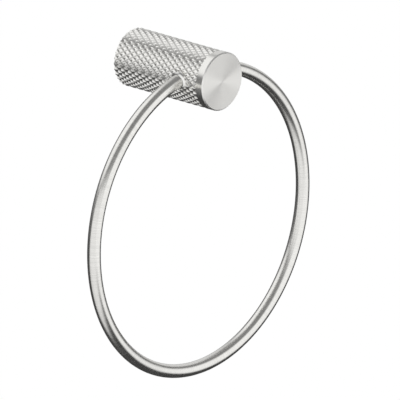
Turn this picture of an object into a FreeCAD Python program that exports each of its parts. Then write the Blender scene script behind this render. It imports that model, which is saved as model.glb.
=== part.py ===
import FreeCAD, Part
import math
import os

# Towel ring: a knurled round post that stands out from a wall and holds a fixed ring.
# Millimetres. The origin is the middle of the post's wall face, the wall is the plane y = 0,
# the post reaches along -Y and +Z is up.

SIZES = {
    # post
    "post_reach": 60.5,
    "land_length": 4.5,
    "land_step": 0.05,
    "face_chamfer": 0.6,
    "bore_diameter": 22.0,
    "bore_depth": 32.0,
    # diamond knurl on the post
    "knurl_diameter": 30.4,
    "knurl_depth": 0.55,
    "knurl_starts": 32,
    "knurl_pitch": 4.65,
    "knurl_flat_share": 0.26,
    # ring
    "ring_outer_diameter": 165.0,
    "rod_diameter": 7.0,
    "ring_setback": 16.5,
    "ring_top_rise": 2.0,
    "ring_seat_depth": 9.2,
    # sockets that take the ring's two ends
    "socket_clearance": 0.15,
    "socket_end_gap": 0.5,
    "mouth_width": 1.35,
    # wall bracket inside the post
    "bracket_clearance": 0.2,
    "bracket_length": 12.0,
    "groove_depth": 1.4,
    "groove_place": 7.0,
    "wall_screw_hole": 4.5,
    "wall_screw_head": 8.6,
    "wall_screw_spacing": 11.0,
    # set screws
    "lock_screw_diameter": 4.0,
    "lock_screw_length": 8.0,
    "grub_screw_diameter": 4.0,
    "screw_clearance": 0.05,
    "screw_tip_gap": 0.05,
    "grub_sunk": 0.9,
    "hex_size": 2.0,
    "hex_depth": 2.0,
}

ALONG_POST = FreeCAD.Rotation(FreeCAD.Vector(1, 0, 0), 90)
DOWNWARD = FreeCAD.Rotation(FreeCAD.Vector(1, 0, 0), 180)
TO_WALL = FreeCAD.Rotation(FreeCAD.Vector(1, 0, 0), -90)
UPRIGHT = FreeCAD.Rotation()
OVERCUT = 1.0

# Sizes that follow from others: the land stands a step proud of the knurl, and the ring's middle
# line passes the post's axis at its own height, whatever the ring's size.
LAND_RADIUS = "(sizes.knurl_diameter / 2 + sizes.land_step)"
LINE_RADIUS = "((sizes.ring_outer_diameter - sizes.rod_diameter) / 2)"
RING_DROP = "(%s - sizes.ring_top_rise)" % LINE_RADIUS

doc = FreeCAD.newDocument("towel_ring")
sheet = doc.addObject("Spreadsheet::Sheet", "sizes")
for row, (name, value) in enumerate(SIZES.items(), start=1):
    sheet.set("A%d" % row, name)
    sheet.set("B%d" % row, str(value))
    sheet.setAlias("B%d" % row, name)
doc.recompute()


def size(name):
    return float(sheet.get(name))


def bind(obj, **expressions):
    """Tie an object's sizes and place to the sheet."""
    for name, text in expressions.items():
        path = {"x": "Placement.Base.x", "y": "Placement.Base.y", "z": "Placement.Base.z"}.get(name, name)
        obj.setExpression(path, text)
    return obj


def cylinder(name, turn, **expressions):
    obj = doc.addObject("Part::Cylinder", name)
    obj.Placement.Rotation = turn
    return bind(obj, **expressions)


def cone(name, turn, **expressions):
    obj = doc.addObject("Part::Cone", name)
    obj.Placement.Rotation = turn
    return bind(obj, **expressions)


def hexagon(name, turn, **expressions):
    obj = doc.addObject("Part::Prism", name)
    obj.Polygon = 6
    obj.Placement.Rotation = turn
    return bind(obj, **expressions)


def fuse(name, shapes):
    obj = doc.addObject("Part::MultiFuse", name)
    obj.Shapes = shapes
    return obj


def cut(name, base, tool):
    obj = doc.addObject("Part::Cut", name)
    obj.Base = base
    obj.Tool = tool
    return obj


def knurled_bar(radius, depth, starts, pitch, flat_share, length):
    """A bar along -Y from y = 0, covered with flat-topped diamonds that two hands of grooves leave."""
    columns = 2 * int(round(starts))
    step = 2 * math.pi / columns
    rows = 2 * max(1, int(round(length / pitch)))
    rise = length / rows
    root = radius - depth
    # Each diamond is a pyramid on four groove crossings, with its point cut off at the bar's radius.
    apex = root + depth / (1 - flat_share)
    side_base = root * math.cos(step)
    side_left = (apex - radius) / (apex - side_base)
    flat_half_width = root * math.sin(step) * side_left
    flat_half_height = rise * flat_share

    def spot(column, across, height, along):
        angle = column * step
        x = height * math.sin(angle) + across * math.cos(angle)
        z = height * math.cos(angle) - across * math.sin(angle)
        return FreeCAD.Vector(x, -along, z)

    def crossing(column, row):
        return spot(column, 0, root, row * rise)

    def face(points):
        return Part.Face(Part.makePolygon(points + points[:1]))

    faces = []
    for row in range(rows + 1):
        for column in range(row % 2, columns, 2):
            along = row * rise
            left = spot(column, -flat_half_width, radius, along)
            right = spot(column, flat_half_width, radius, along)
            ends = {}
            for way in (-1, 1):
                if not 0 <= row + way <= rows:
                    continue
                end = spot(column, 0, radius, along + way * flat_half_height)
                ends[way] = end
                beyond = crossing(column, row + way)
                faces.append(face([crossing(column - 1, row), beyond, end, left]))
                faces.append(face([crossing(column + 1, row), beyond, end, right]))
            top = [left, ends[-1], right, ends[1]] if len(ends) == 2 else [left, right] + list(ends.values())
            faces.append(face(top))
    for row in (0, rows):
        rim = []
        for column in range(columns):
            if (column + row) % 2:
                rim.append(crossing(column, row))
            else:
                rim.append(spot(column, -flat_half_width, radius, row * rise))
                rim.append(spot(column, flat_half_width, radius, row * rise))
        faces.append(face(rim))
    shell = Part.makeShell(faces)
    shell.sewShape()
    return Part.makeSolid(shell)


def rod_height(x):
    """Height of the rod's middle at a distance x to the side of the post's axis."""
    line_radius = (size("ring_outer_diameter") - size("rod_diameter")) / 2
    return math.sqrt(line_radius ** 2 - x ** 2) - line_radius + size("ring_top_rise")


def make_socket_tools():
    """The drill and the chamfer tool of both sockets, each on the chord of the rod's seated end."""
    outside = size("knurl_diameter") / 2 + size("land_step")
    inside = outside - size("ring_seat_depth")
    y = size("ring_setback") - size("post_reach")
    outer = FreeCAD.Vector(outside, y, rod_height(outside))
    inner = FreeCAD.Vector(inside, y, rod_height(inside))
    axis = (inner - outer).normalize()
    chord = (inner - outer).Length
    line_radius = (size("ring_outer_diameter") - size("rod_diameter")) / 2
    bow = line_radius - math.sqrt(line_radius ** 2 - (chord / 2) ** 2)
    # The rod bows up from the chord, so the drill runs half that bow above it.
    lift = FreeCAD.Vector(-axis.z, 0, axis.x) * (-bow / 2)
    radius = size("rod_diameter") / 2 + size("socket_clearance")
    mouth = radius + size("mouth_width")
    start = outer + lift - axis * OVERCUT
    drill = Part.makeCylinder(radius, chord + OVERCUT + size("socket_end_gap"), start, axis)
    chamfer = Part.makeCone(mouth + OVERCUT, radius, size("mouth_width") + OVERCUT, start, axis)
    tool = drill.fuse(chamfer)
    other = tool.mirror(FreeCAD.Vector(0, 0, 0), FreeCAD.Vector(1, 0, 0))
    return Part.makeCompound([tool, other])


def make_set_screw(name, turn, diameter, length, places):
    """Set screws with a flat tip that starts at each place and a hexagon socket at the far end."""
    screws = []
    for index, place in enumerate(places):
        part_name = "%s_%d" % (name, index + 1)
        body = cylinder(part_name + "_body", turn, Radius=diameter + " / 2", Height=length, **place)
        socket = hexagon(part_name + "_hexagon", UPRIGHT, Height="sizes.hex_depth + %g" % OVERCUT,
                         Circumradius="sizes.hex_size / sqrt(3)")
        socket.Placement.Rotation = turn
        axis = turn.multVec(FreeCAD.Vector(0, 0, 1))
        for letter, share in zip("xyz", axis):
            text = "(%s) + (%g) * (%s - sizes.hex_depth)" % (place[letter], round(share), length)
            bind(socket, **{letter: text})
        screws.append(cut(part_name, body, socket))
    return screws


def make_post_body():
    bar = doc.addObject("Part::Feature", "knurled_bar")
    bar.Shape = knurled_bar(size("knurl_diameter") / 2, size("knurl_depth"), size("knurl_starts"),
                            size("knurl_pitch"), size("knurl_flat_share"),
                            size("post_reach") - size("land_length"))
    land = cylinder("front_land", ALONG_POST, Radius=LAND_RADIUS,
                    Height="sizes.land_length - sizes.face_chamfer",
                    y="sizes.land_length - sizes.post_reach")
    edge = cone("front_edge", ALONG_POST, Radius1=LAND_RADIUS,
                Radius2=LAND_RADIUS + " - sizes.face_chamfer", Height="sizes.face_chamfer",
                y="sizes.face_chamfer - sizes.post_reach")
    blank = fuse("post_blank", [bar, land, edge])
    bore = cylinder("rear_bore", ALONG_POST, Radius="sizes.bore_diameter / 2",
                    Height="sizes.bore_depth + %g" % OVERCUT, y="%g" % OVERCUT)
    sockets = doc.addObject("Part::Feature", "ring_sockets")
    sockets.Shape = make_socket_tools()
    tools = [bore, sockets]
    for index, place in enumerate(lock_screw_places()):
        tools.append(cylinder("lock_hole_%d" % (index + 1), TO_WALL,
                              Radius="sizes.lock_screw_diameter / 2 + sizes.screw_clearance",
                              Height="sizes.post_reach", **place))
    tools.append(cylinder("grub_hole", UPRIGHT,
                          Radius="sizes.grub_screw_diameter / 2 + sizes.screw_clearance",
                          Height=LAND_RADIUS, x="0", y="-sizes.groove_place",
                          z="-%s - %g" % (LAND_RADIUS, OVERCUT)))
    return cut("post_body", blank, fuse("post_cuts", tools))


def lock_screw_places():
    """Where each lock screw's tip meets the rod: over the middle of its seated end."""
    across = "(%s - sizes.ring_seat_depth + sizes.lock_screw_diameter / 2 + 0.5)" % LAND_RADIUS
    height = "sqrt(%s ^ 2 - %s ^ 2) - %s" % (LINE_RADIUS, across, RING_DROP)
    tip = "sizes.ring_setback - sizes.post_reach + sizes.rod_diameter / 2 + sizes.screw_tip_gap"
    return [{"x": sign + across, "y": tip, "z": height} for sign in ("-", "")]


def make_ring():
    torus = doc.addObject("Part::Torus", "ring_round")
    torus.Placement.Rotation = ALONG_POST
    bind(torus, Radius1=LINE_RADIUS, Radius2="sizes.rod_diameter / 2",
         y="sizes.ring_setback - sizes.post_reach", z="-" + RING_DROP)
    gap = doc.addObject("Part::Box", "ring_gap")
    bind(gap, Length="2 * (%s - sizes.ring_seat_depth)" % LAND_RADIUS, Width="sizes.rod_diameter * 2",
         Height="sizes.ring_outer_diameter", x="sizes.ring_seat_depth - " + LAND_RADIUS,
         y="sizes.ring_setback - sizes.post_reach - sizes.rod_diameter", z="-" + RING_DROP)
    return cut("ring", torus, gap)


def make_wall_bracket():
    radius = "sizes.bore_diameter / 2 - sizes.bracket_clearance"
    puck = cylinder("bracket_puck", ALONG_POST, Radius=radius, Height="sizes.bracket_length")
    # The groove is two cones, widest at its two edges.
    groove_blank = cylinder("groove_blank", ALONG_POST, Radius=radius + " + %g" % OVERCUT,
                            Height="sizes.groove_depth * 2", y="sizes.groove_depth - sizes.groove_place")
    near = cone("groove_near", ALONG_POST, Radius1=radius, Radius2=radius + " - sizes.groove_depth",
                Height="sizes.groove_depth", y="sizes.groove_depth - sizes.groove_place")
    far = cone("groove_far", ALONG_POST, Radius1=radius + " - sizes.groove_depth", Radius2=radius,
               Height="sizes.groove_depth", y="-sizes.groove_place")
    groove = cut("bracket_groove", groove_blank, fuse("groove_core", [near, far]))
    tools = [groove]
    for index, sign in enumerate(("-", "")):
        place = sign + "sizes.wall_screw_spacing / 2"
        tools.append(cylinder("wall_screw_hole_%d" % (index + 1), ALONG_POST,
                              Radius="sizes.wall_screw_hole / 2",
                              Height="sizes.bracket_length + %g" % (2 * OVERCUT), x=place, y="%g" % OVERCUT))
        tools.append(cone("wall_screw_head_%d" % (index + 1), ALONG_POST,
                          Radius1="sizes.wall_screw_hole / 2", Radius2="sizes.wall_screw_head / 2",
                          Height="(sizes.wall_screw_head - sizes.wall_screw_hole) / 2", x=place,
                          y="(sizes.wall_screw_head - sizes.wall_screw_hole) / 2 - sizes.bracket_length"))
    return cut("wall_bracket", puck, fuse("bracket_cuts", tools))


def make_ring_lock_screws():
    screws = make_set_screw("lock_screw", TO_WALL, "sizes.lock_screw_diameter", "sizes.lock_screw_length",
                            lock_screw_places())
    group = doc.addObject("Part::Compound", "ring_lock_screws")
    group.Links = screws
    return group


def make_bracket_grub_screw():
    # The flat tip stops where the groove is as wide as the screw.
    tip = "-(sizes.bore_diameter / 2 - sizes.bracket_clearance + sizes.screw_tip_gap)"
    length = "(%s - sizes.grub_sunk + %s)" % (LAND_RADIUS, tip)
    place = {"x": "0", "y": "-sizes.groove_place", "z": tip}
    return make_set_screw("grub_screw", DOWNWARD, "sizes.grub_screw_diameter", length, [place])[0]


pieces = {
    "post_body": make_post_body(),
    "ring": make_ring(),
    "ring_lock_screws": make_ring_lock_screws(),
    "wall_bracket": make_wall_bracket(),
    "bracket_grub_screw": make_bracket_grub_screw(),
}
for node, piece in pieces.items():
    piece.Label = node
doc.recompute()

for obj in doc.Objects:
    if "Invalid" in obj.State or "Error" in obj.State:
        raise RuntimeError("%s failed: %s" % (obj.Name, obj.State))
for node, piece in pieces.items():
    if piece.Shape.isNull() or not piece.Shape.isValid():
        raise RuntimeError(node + " has no valid shape")

os.makedirs("parts", exist_ok=True)
for node, piece in pieces.items():
    piece.Shape.exportStep("parts/%s.step" % node)
    print(node, len(piece.Shape.Solids), "solids, volume", round(piece.Shape.Volume, 1))
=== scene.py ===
import math

import bmesh
import bpy
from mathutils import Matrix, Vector


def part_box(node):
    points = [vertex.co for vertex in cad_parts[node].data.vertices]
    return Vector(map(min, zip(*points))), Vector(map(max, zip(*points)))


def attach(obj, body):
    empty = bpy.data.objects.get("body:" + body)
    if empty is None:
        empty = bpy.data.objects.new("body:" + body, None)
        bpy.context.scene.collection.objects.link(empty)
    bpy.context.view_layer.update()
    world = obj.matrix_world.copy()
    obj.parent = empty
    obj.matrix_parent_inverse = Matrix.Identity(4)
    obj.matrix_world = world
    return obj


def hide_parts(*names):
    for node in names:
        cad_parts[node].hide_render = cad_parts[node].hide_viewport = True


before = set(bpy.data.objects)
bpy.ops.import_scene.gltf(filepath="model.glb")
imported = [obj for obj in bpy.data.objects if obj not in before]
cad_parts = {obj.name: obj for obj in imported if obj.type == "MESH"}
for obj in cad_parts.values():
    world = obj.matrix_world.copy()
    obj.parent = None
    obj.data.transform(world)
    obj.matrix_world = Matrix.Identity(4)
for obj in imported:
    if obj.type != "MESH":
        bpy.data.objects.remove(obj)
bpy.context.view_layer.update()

MM = 0.001
WHITE = (1, 1, 1, 1)

# Sizes of the post and the ring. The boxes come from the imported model.
post_low, post_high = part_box("post_body")
ring_low, ring_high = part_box("ring")
POST_FRONT = post_low[1]
POST_RADIUS = post_high[0]
LAND_LENGTH = 4.5 * MM
FACE_CHAMFER = 0.6 * MM
RING_OUTER = 165 * MM / 2
ROD_RADIUS = (ring_high[1] - ring_low[1]) / 2
RING_RADIUS = RING_OUTER - ROD_RADIUS
RING_PLANE = (ring_high[1] + ring_low[1]) / 2
RING_CENTRE = ring_low[2] + RING_OUTER
# How far each end of the rod stays from the post's middle plane
ROD_END = 6.05 * MM
RING_STEPS = 360
ROD_STEPS = 48

# Behind the land, a face of the post is knurl if it lies near the surface and turns outward. The
# others are the bore's where they lie behind BORE_FRONT, and the sockets' where they lie before it.
FACE_SLACK = 0.01 * MM
KNURL_REACH = 1.2 * MM
KNURL_OUTWARD = 0.3
BORE_FRONT = -35 * MM
POST_SHARP_ANGLE = math.radians(18)

# Painted shade: the knurl's colour is darkened at the bottom of its grooves, and left unshaded from the outer
# of these radii outward
GROOVE_BOTTOM = 14.60 * MM
GROOVE_UNSHADED = 14.95 * MM
GROOVE_SHADE = 0.5

# The bright rim round each socket: it starts inside the post and stands a little proud of it
RIM_RADIUS = 4.75 * MM
RIM_BORE = 3.6 * MM
RIM_DEPTH = 1.4 * MM
RIM_PROUD = 0.5 * MM
RIM_SLOPE_FALL = 0.12 * MM
RIM_SOFTNESS = 0.12 * MM
RIM_STEPS = 96
RIM_SHARP_ANGLE = math.radians(40)

# The tool marks: their noise, the blotches of uneven finish, and the height of the relief
MARK_DETAIL = 3.0
BLOTCH_SCALE = 90.0
BLOTCH_DETAIL = 2.0
MARK_DEPTH = 0.02 * MM
QUARTER_TURN = 0.25

# The tent's windows: degrees to the right of the front, degrees up, half width and openness
STUDIO_WINDOWS = (
    (28, 0, 38, 1.0),
    (-8, 0, 30, 1.0),
    (-60, -14, 42, 0.88),
    (-86, -32, 37, 0.78),
    (-90, -4, 31, 0.85),
    (-156, 50, 34, 1.0),
    (120, 22, 28, 0.65),
)
WINDOW_BLUR = 9
# The cloth's brightness, and the heights between which it rises
CLOTH_LOW = 0.055
CLOTH_HIGH = 0.24
CLOTH_LOW_AT = -0.4
CLOTH_HIGH_AT = 0.6
TENT_RADIUS = 1.6

# The floor lies far below the ring, so that it stays a small part of what the metal reflects
FLOOR_DROP = 2.0
FLOOR_WIDTH = 12
FLOOR_WHITENESS = 0.88
LAMP_AIM = (0, -0.03, -0.05)

# The view: degrees round to the left and up, and the width of what the picture shows
VIEW_AZIMUTH = math.radians(47.9)
VIEW_ELEVATION = math.radians(18.26)
VIEW_WIDTH = 400 / 1.970 * MM
VIEW_CENTRE = Vector((1.28 * MM, RING_PLANE, RING_CENTRE + 9.82 * MM))
VIEW_DISTANCE = 1.2


def new_material(name):
    """A material with its Principled shader."""
    material = bpy.data.materials.new(name)
    material.use_nodes = True
    shader = material.node_tree.nodes["Principled BSDF"]
    return material, material.node_tree, shader


def new_group(name, inputs, outputs):
    tree = bpy.data.node_groups.new(name, "ShaderNodeTree")
    for kind, label, value in inputs:
        socket = tree.interface.new_socket(label, in_out="INPUT", socket_type=kind)
        if value is not None:
            socket.default_value = value
    for kind, label in outputs:
        tree.interface.new_socket(label, in_out="OUTPUT", socket_type=kind)
    return tree, tree.nodes.new("NodeGroupInput"), tree.nodes.new("NodeGroupOutput")


def link_object(name, data):
    """A new object of the scene with this mesh, lamp or camera."""
    thing = bpy.data.objects.new(name, data)
    bpy.context.scene.collection.objects.link(thing)
    return thing


def math_node(tree, operation, first, second):
    """A Math node. Each of its two values is a socket or a plain number."""
    node = tree.nodes.new("ShaderNodeMath")
    node.operation = operation
    for socket, value in zip(node.inputs, (first, second)):
        if isinstance(value, (int, float)):
            socket.default_value = value
        else:
            tree.links.new(value, socket)
    return node.outputs[0]


def seen_directly(tree):
    """1 for a ray from the camera, in a reflection or through glass, otherwise 0."""
    path = tree.nodes.new("ShaderNodeLightPath")
    either = math_node(tree, "MAXIMUM", path.outputs["Is Camera Ray"], path.outputs["Is Glossy Ray"])
    return math_node(tree, "MAXIMUM", either, path.outputs["Is Transmission Ray"])


def make_tool_marks():
    """Fine lines left by a brush or a turning tool, as a colour, a roughness and a height."""
    tree, given, out = new_group(
        "tool_marks",
        [
            ("NodeSocketVector", "Place", None),
            ("NodeSocketVector", "Lines", (1.0, 1.0, 1.0)),
            ("NodeSocketColor", "Metal", (0.7, 0.7, 0.69, 1.0)),
            ("NodeSocketFloat", "Contrast", 0.1),
            ("NodeSocketFloat", "Roughness", 0.3),
            ("NodeSocketFloat", "Roughness Spread", 0.08),
        ],
        [("NodeSocketColor", "Color"), ("NodeSocketFloat", "Roughness"), ("NodeSocketFloat", "Height")],
    )
    stretch = tree.nodes.new("ShaderNodeVectorMath")
    stretch.operation = "MULTIPLY"
    tree.links.new(given.outputs["Place"], stretch.inputs[0])
    tree.links.new(given.outputs["Lines"], stretch.inputs[1])
    lines = tree.nodes.new("ShaderNodeTexNoise")
    lines.inputs["Scale"].default_value = 1.0
    lines.inputs["Detail"].default_value = MARK_DETAIL
    tree.links.new(stretch.outputs[0], lines.inputs["Vector"])
    blotches = tree.nodes.new("ShaderNodeTexNoise")
    blotches.inputs["Scale"].default_value = BLOTCH_SCALE
    blotches.inputs["Detail"].default_value = BLOTCH_DETAIL
    tree.links.new(given.outputs["Place"], blotches.inputs["Vector"])

    def centred(value, strength):
        """(value - 0.5) * strength"""
        return math_node(tree, "MULTIPLY", math_node(tree, "SUBTRACT", value, 0.5), strength)

    line, spread = lines.outputs["Fac"], given.outputs["Roughness Spread"]
    shade = math_node(tree, "ADD", 1.0, centred(line, given.outputs["Contrast"]))
    tint = tree.nodes.new("ShaderNodeVectorMath")
    tint.operation = "SCALE"
    tree.links.new(given.outputs["Metal"], tint.inputs[0])
    tree.links.new(shade, tint.inputs["Scale"])
    tree.links.new(tint.outputs[0], out.inputs["Color"])
    mixed = math_node(tree, "ADD", centred(line, spread), centred(blotches.outputs["Fac"], spread))
    rough = math_node(tree, "ADD", given.outputs["Roughness"], mixed)
    tree.links.new(rough, out.inputs["Roughness"])
    tree.links.new(line, out.inputs["Height"])
    return tree


def make_radial_place():
    """Turns a point of the post into (distance from its axis, angle round it, distance along it)."""
    tree, given, out = new_group(
        "radial_place", [("NodeSocketVector", "Place", None)], [("NodeSocketVector", "Radial")]
    )
    split = tree.nodes.new("ShaderNodeSeparateXYZ")
    tree.links.new(given.outputs["Place"], split.inputs[0])
    flat = tree.nodes.new("ShaderNodeCombineXYZ")
    tree.links.new(split.outputs["X"], flat.inputs["X"])
    tree.links.new(split.outputs["Z"], flat.inputs["Z"])
    distance = tree.nodes.new("ShaderNodeVectorMath")
    distance.operation = "LENGTH"
    tree.links.new(flat.outputs[0], distance.inputs[0])
    angle = math_node(tree, "ARCTAN2", split.outputs["Z"], split.outputs["X"])
    joined = tree.nodes.new("ShaderNodeCombineXYZ")
    tree.links.new(distance.outputs["Value"], joined.inputs["X"])
    tree.links.new(angle, joined.inputs["Y"])
    tree.links.new(split.outputs["Y"], joined.inputs["Z"])
    tree.links.new(joined.outputs[0], out.inputs["Radial"])
    return tree


TOOL_MARKS = make_tool_marks()
RADIAL_PLACE = make_radial_place()


def metal(name, color, place, lines, contrast, roughness, spread, bump, anisotropic=0.0, tangent=None):
    """Bare metal with tool marks. place is "uv", "radial" or "object", and lines are marks per unit of it."""
    material, tree, shader = new_material(name)
    marks = tree.nodes.new("ShaderNodeGroup")
    marks.node_tree = TOOL_MARKS
    marks.inputs["Lines"].default_value = lines
    marks.inputs["Metal"].default_value = color + (1.0,)
    marks.inputs["Contrast"].default_value = contrast
    marks.inputs["Roughness"].default_value = roughness
    marks.inputs["Roughness Spread"].default_value = spread
    coordinates = tree.nodes.new("ShaderNodeTexCoord")
    source = coordinates.outputs["UV" if place == "uv" else "Object"]
    if place == "radial":
        radial = tree.nodes.new("ShaderNodeGroup")
        radial.node_tree = RADIAL_PLACE
        tree.links.new(source, radial.inputs["Place"])
        source = radial.outputs["Radial"]
    tree.links.new(source, marks.inputs["Place"])
    tree.links.new(marks.outputs["Color"], shader.inputs["Base Color"])
    tree.links.new(marks.outputs["Roughness"], shader.inputs["Roughness"])
    relief = tree.nodes.new("ShaderNodeBump")
    relief.inputs["Strength"].default_value = bump
    relief.inputs["Distance"].default_value = MARK_DEPTH
    tree.links.new(marks.outputs["Height"], relief.inputs["Height"])
    tree.links.new(relief.outputs["Normal"], shader.inputs["Normal"])
    shader.inputs["Metallic"].default_value = 1.0
    shader.inputs["Anisotropic"].default_value = anisotropic
    if tangent:
        direction = tree.nodes.new("ShaderNodeTangent")
        if tangent == "uv":
            direction.direction_type = "UV_MAP"
        else:
            direction.direction_type = "RADIAL"
            direction.axis = "Y"
            shader.inputs["Anisotropic Rotation"].default_value = QUARTER_TURN
        tree.links.new(direction.outputs[0], shader.inputs["Tangent"])
    return material


def paint_groove_shade(material):
    """Painted shade: darker grey in the bottom of the knurl's grooves, fading to the plain colour towards
    their top.
    """
    tree = material.node_tree
    shader = tree.nodes["Principled BSDF"]
    bright = shader.inputs["Base Color"].links[0].from_socket
    coordinates = tree.nodes.new("ShaderNodeTexCoord")
    radial = tree.nodes.new("ShaderNodeGroup")
    radial.node_tree = RADIAL_PLACE
    tree.links.new(coordinates.outputs["Object"], radial.inputs["Place"])
    split = tree.nodes.new("ShaderNodeSeparateXYZ")
    tree.links.new(radial.outputs["Radial"], split.inputs[0])
    depth = tree.nodes.new("ShaderNodeMapRange")
    depth.inputs["From Min"].default_value = GROOVE_BOTTOM
    depth.inputs["From Max"].default_value = GROOVE_UNSHADED
    depth.inputs["To Min"].default_value = GROOVE_SHADE
    depth.inputs["To Max"].default_value = 1.0
    tree.links.new(split.outputs["X"], depth.inputs["Value"])
    tint = tree.nodes.new("ShaderNodeVectorMath")
    tint.operation = "SCALE"
    tree.links.new(bright, tint.inputs[0])
    tree.links.new(depth.outputs["Result"], tint.inputs["Scale"])
    tree.links.new(tint.outputs[0], shader.inputs["Base Color"])


SATIN = (0.86, 0.852, 0.825)
ring_steel = metal("ring_brushed_across", SATIN, "uv", (2600.0, 40.0, 1.0), contrast=0.72,
                   roughness=0.24, spread=0.18, bump=0.3, anisotropic=0.5, tangent="uv")
face_steel = metal("face_spun", (0.97, 0.962, 0.935), "radial", (7000.0, 1.5, 0.0), contrast=0.10,
                   roughness=0.445, spread=0.06, bump=0.08, anisotropic=0.94, tangent="radial")
land_steel = metal("land_turned", SATIN, "radial", (0.0, 1.5, 6000.0), contrast=0.12,
                   roughness=0.21, spread=0.06, bump=0.10)
knurl_steel = metal("knurl_pressed", (0.98, 0.972, 0.945), "object", (2500.0, 2500.0, 2500.0),
                    contrast=0.12, roughness=0.2, spread=0.08, bump=0.08)
# painted shade in the bottom of the knurl's grooves
paint_groove_shade(knurl_steel)
edge_steel = metal("edge_bevelled", (0.97, 0.965, 0.945), "radial", (3000.0, 1.5, 3000.0),
                   contrast=0.06, roughness=0.42, spread=0.05, bump=0.05)
rim_steel = metal("rim_polished", (0.98, 0.975, 0.955), "radial", (3000.0, 1.5, 3000.0),
                  contrast=0.04, roughness=0.2, spread=0.04, bump=0.03)
bracket_steel = metal("bracket_turned", (0.66, 0.66, 0.67), "radial", (4000.0, 1.5, 4000.0),
                      contrast=0.14, roughness=0.34, spread=0.1, bump=0.15)
screw_steel = metal("screw_steel", (0.52, 0.52, 0.54), "object", (1800.0, 1800.0, 1800.0),
                    contrast=0.16, roughness=0.32, spread=0.1, bump=0.15)


def make_ring():
    """The ring's rod, swept on its circle from one seated end to the other, in small smooth steps."""
    half_gap = math.asin(ROD_END / RING_RADIUS)
    start = math.pi / 2 + half_gap
    sweep = 2 * math.pi - 2 * half_gap
    mesh = bpy.data.meshes.new("ring_rod")
    build = bmesh.new()
    uv = build.loops.layers.uv.new("rod")
    rows = []
    for i in range(RING_STEPS + 1):
        angle = start + sweep * i / RING_STEPS
        out = Vector((math.cos(angle), 0, math.sin(angle)))
        middle = Vector((0, RING_PLANE, RING_CENTRE)) + out * RING_RADIUS
        row = []
        for j in range(ROD_STEPS):
            turn = 2 * math.pi * j / ROD_STEPS
            spoke = out * math.cos(turn) + Vector((0, math.sin(turn), 0))
            row.append(build.verts.new(middle + ROD_RADIUS * spoke))
        rows.append(row)
    for i in range(RING_STEPS):
        for j in range(ROD_STEPS):
            k = (j + 1) % ROD_STEPS
            face = build.faces.new((rows[i][j], rows[i][k], rows[i + 1][k], rows[i + 1][j]))
            face.smooth = True
            for loop, (u, v) in zip(face.loops, ((i, j), (i, j + 1), (i + 1, j + 1), (i + 1, j))):
                loop[uv].uv = (sweep * RING_RADIUS * u / RING_STEPS, v / ROD_STEPS * ROD_RADIUS)
    build.faces.new(rows[0])
    build.faces.new(list(reversed(rows[-1])))
    bmesh.ops.recalc_face_normals(build, faces=build.faces)
    build.to_mesh(mesh)
    build.free()
    mesh.materials.append(ring_steel)
    ring = link_object("ring_rod", mesh)
    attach(ring, "root")
    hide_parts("ring")


def make_post():
    """The post with its own finish on the face, bevel, land, knurl and the bores."""
    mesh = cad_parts["post_body"].data.copy()
    mesh.name = "knurled_post"
    mesh.materials.clear()
    for material in (knurl_steel, land_steel, edge_steel, face_steel, bracket_steel):
        mesh.materials.append(material)
    knurl, land, edge, spun, inside = range(5)
    for face in mesh.polygons:
        middle = face.center
        reach = math.hypot(middle.x, middle.z)
        outward = (middle.x * face.normal.x + middle.z * face.normal.z) / max(reach, FACE_SLACK)
        if middle.y < POST_FRONT + FACE_SLACK:
            kind = spun
        elif middle.y < POST_FRONT + FACE_CHAMFER:
            kind = edge
        elif middle.y < POST_FRONT + LAND_LENGTH + FACE_SLACK:
            kind = land
        elif reach < POST_RADIUS - KNURL_REACH or outward < KNURL_OUTWARD:
            kind = inside if middle.y > BORE_FRONT else edge
        else:
            kind = knurl
        face.material_index = kind
    mesh.polygons.foreach_set("use_smooth", [True] * len(mesh.polygons))
    mesh.set_sharp_from_angle(angle=POST_SHARP_ANGLE)
    post = link_object("knurled_post", mesh)
    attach(post, "root")
    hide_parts("post_body")


def make_socket_rims():
    """The clean rounded rim round each of the two sockets, where the rod leaves the post."""
    mesh = bpy.data.meshes.new("socket_rims")
    build = bmesh.new()
    # The section runs up the outside, over a slope that faces outward, and down the bore.
    section = (
        (RIM_RADIUS, -RIM_DEPTH),
        (RIM_RADIUS, -RIM_SLOPE_FALL),
        (RIM_RADIUS - RIM_SOFTNESS, 0.0),
        (RIM_BORE + RIM_SOFTNESS, RIM_PROUD),
        (RIM_BORE, RIM_PROUD - RIM_SOFTNESS),
        (RIM_BORE, -RIM_DEPTH),
    )
    for side in (-1, 1):
        angle = math.asin(POST_RADIUS / RING_RADIUS)
        out = Vector((side * math.cos(angle), 0, -math.sin(angle)))
        across = Vector((side * math.sin(angle), 0, math.cos(angle)))
        middle = Vector((side * POST_RADIUS, RING_PLANE, RING_CENTRE + RING_RADIUS * math.cos(angle)))
        rows = []
        for j in range(RIM_STEPS):
            turn = 2 * math.pi * j / RIM_STEPS
            spoke = across * math.cos(turn) + Vector((0, math.sin(turn), 0))
            rows.append([build.verts.new(middle + spoke * radius + out * along) for radius, along in section])
        for j in range(RIM_STEPS):
            near, far = rows[j], rows[(j + 1) % RIM_STEPS]
            for i in range(len(section)):
                k = (i + 1) % len(section)
                build.faces.new((near[i], near[k], far[k], far[i])).smooth = True
    bmesh.ops.recalc_face_normals(build, faces=build.faces)
    build.to_mesh(mesh)
    build.free()
    mesh.set_sharp_from_angle(angle=RIM_SHARP_ANGLE)
    mesh.materials.append(rim_steel)
    rims = link_object("socket_rims", mesh)
    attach(rims, "root")


def finish_node(name, material):
    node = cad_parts[name]
    for slot in node.material_slots:
        slot.link = "OBJECT"
        slot.material = material


make_ring()
make_post()
make_socket_rims()
finish_node("wall_bracket", bracket_steel)
finish_node("ring_lock_screws", screw_steel)
finish_node("bracket_grub_screw", screw_steel)


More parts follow.
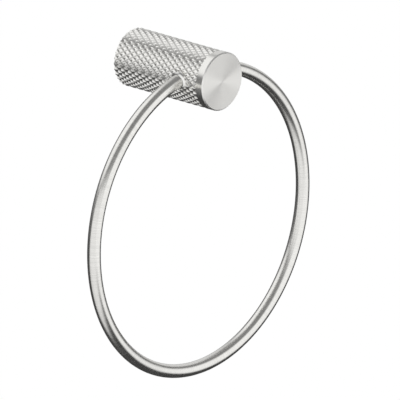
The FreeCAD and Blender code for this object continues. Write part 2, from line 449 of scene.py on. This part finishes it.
def make_floor_material():
    """Mostly plain white to the camera and in metal, and a pale surface to all other light."""
    material, tree, shader = new_material("floor_white")
    tree.nodes.remove(shader)
    plain = tree.nodes.new("ShaderNodeBsdfDiffuse")
    plain.inputs["Color"].default_value = WHITE
    white = tree.nodes.new("ShaderNodeEmission")
    white.inputs["Color"].default_value = WHITE
    both = tree.nodes.new("ShaderNodeMixShader")
    tree.links.new(math_node(tree, "MULTIPLY", seen_directly(tree), FLOOR_WHITENESS), both.inputs[0])
    tree.links.new(plain.outputs[0], both.inputs[1])
    tree.links.new(white.outputs[0], both.inputs[2])
    tree.links.new(both.outputs[0], tree.nodes["Material Output"].inputs["Surface"])
    return material


def make_floor():
    mesh = bpy.data.meshes.new("floor")
    half = FLOOR_WIDTH / 2
    corners = [(-half, -half, 0), (half, -half, 0), (half, half, 0), (-half, half, 0)]
    mesh.from_pydata(corners, [], [(0, 1, 2, 3)])
    mesh.materials.append(make_floor_material())
    floor = link_object("floor", mesh)
    floor.location = (0, 0, RING_CENTRE - FLOOR_DROP)


def make_studio_cloth():
    """A dark tent round the object, seen only in reflections. Its soft windows let the white room in."""
    material, tree, shader = new_material("studio_cloth")
    tree.nodes.remove(shader)
    coordinates = tree.nodes.new("ShaderNodeTexCoord")
    direction = tree.nodes.new("ShaderNodeVectorMath")
    direction.operation = "NORMALIZE"
    tree.links.new(coordinates.outputs["Object"], direction.inputs[0])
    opening = None
    for side, height, reach, strength in STUDIO_WINDOWS:
        lon, lat = math.radians(side), math.radians(height)
        toward = (math.sin(lon) * math.cos(lat), -math.cos(lon) * math.cos(lat), math.sin(lat))
        facing = tree.nodes.new("ShaderNodeVectorMath")
        facing.operation = "DOT_PRODUCT"
        facing.inputs[1].default_value = toward
        tree.links.new(direction.outputs[0], facing.inputs[0])
        soft = tree.nodes.new("ShaderNodeMapRange")
        soft.interpolation_type = "SMOOTHSTEP"
        soft.inputs["From Min"].default_value = math.cos(math.radians(reach + WINDOW_BLUR))
        soft.inputs["From Max"].default_value = math.cos(math.radians(max(reach - WINDOW_BLUR, 1)))
        soft.inputs["To Max"].default_value = strength
        tree.links.new(facing.outputs["Value"], soft.inputs["Value"])
        window = soft.outputs["Result"]
        opening = window if opening is None else math_node(tree, "MAXIMUM", opening, window)
    split = tree.nodes.new("ShaderNodeSeparateXYZ")
    tree.links.new(direction.outputs[0], split.inputs[0])
    grey = tree.nodes.new("ShaderNodeMapRange")
    grey.inputs["From Min"].default_value = CLOTH_LOW_AT
    grey.inputs["From Max"].default_value = CLOTH_HIGH_AT
    grey.inputs["To Min"].default_value = CLOTH_LOW
    grey.inputs["To Max"].default_value = CLOTH_HIGH
    tree.links.new(split.outputs["Z"], grey.inputs["Value"])
    cloth = tree.nodes.new("ShaderNodeEmission")
    tree.links.new(grey.outputs["Result"], cloth.inputs["Strength"])
    clear = tree.nodes.new("ShaderNodeBsdfTransparent")
    both = tree.nodes.new("ShaderNodeMixShader")
    tree.links.new(opening, both.inputs[0])
    tree.links.new(cloth.outputs[0], both.inputs[1])
    tree.links.new(clear.outputs[0], both.inputs[2])
    tree.links.new(both.outputs[0], tree.nodes["Material Output"].inputs["Surface"])
    mesh = bpy.data.meshes.new("studio_tent")
    build = bmesh.new()
    bmesh.ops.create_icosphere(build, subdivisions=4, radius=TENT_RADIUS)
    build.to_mesh(mesh)
    build.free()
    mesh.materials.append(material)
    tent = link_object("studio_tent", mesh)
    tent.location = (0, RING_PLANE, RING_CENTRE)
    for ray in ("camera", "diffuse", "shadow", "transmission", "volume_scatter"):
        setattr(tent, "visible_" + ray, False)


def make_world():
    """A white room."""
    world = bpy.data.worlds.new("studio")
    bpy.context.scene.world = world
    world.use_nodes = True
    room = world.node_tree.nodes["Background"]
    room.inputs["Color"].default_value = WHITE
    room.inputs["Strength"].default_value = 1.0


def make_lamp(name, power, size, place):
    light = bpy.data.lights.new(name, "AREA")
    light.energy = power
    light.size = size
    lamp = link_object(name, light)
    lamp.location = place
    lamp.rotation_euler = (Vector(LAMP_AIM) - Vector(place)).to_track_quat("-Z", "Y").to_euler()
    lamp.visible_glossy = False


def make_camera():
    """The photograph's view: no perspective, from the left front and a little above."""
    forward = Vector((
        math.sin(VIEW_AZIMUTH) * math.cos(VIEW_ELEVATION),
        math.cos(VIEW_AZIMUTH) * math.cos(VIEW_ELEVATION),
        -math.sin(VIEW_ELEVATION),
    ))
    lens = bpy.data.cameras.new("camera")
    lens.type = "ORTHO"
    lens.ortho_scale = VIEW_WIDTH
    camera = link_object("camera", lens)
    camera.location = VIEW_CENTRE - forward * VIEW_DISTANCE
    camera.rotation_euler = forward.to_track_quat("-Z", "Y").to_euler()
    bpy.context.scene.camera = camera


make_world()
make_camera()
make_floor()
make_studio_cloth()
make_lamp("key_light", power=14, size=1.0, place=(-0.9, -0.9, 1.5))
make_lamp("fill_light", power=5, size=1.2, place=(1.4, -1.0, 0.6))

bpy.context.scene.view_settings.view_transform = "Standard"
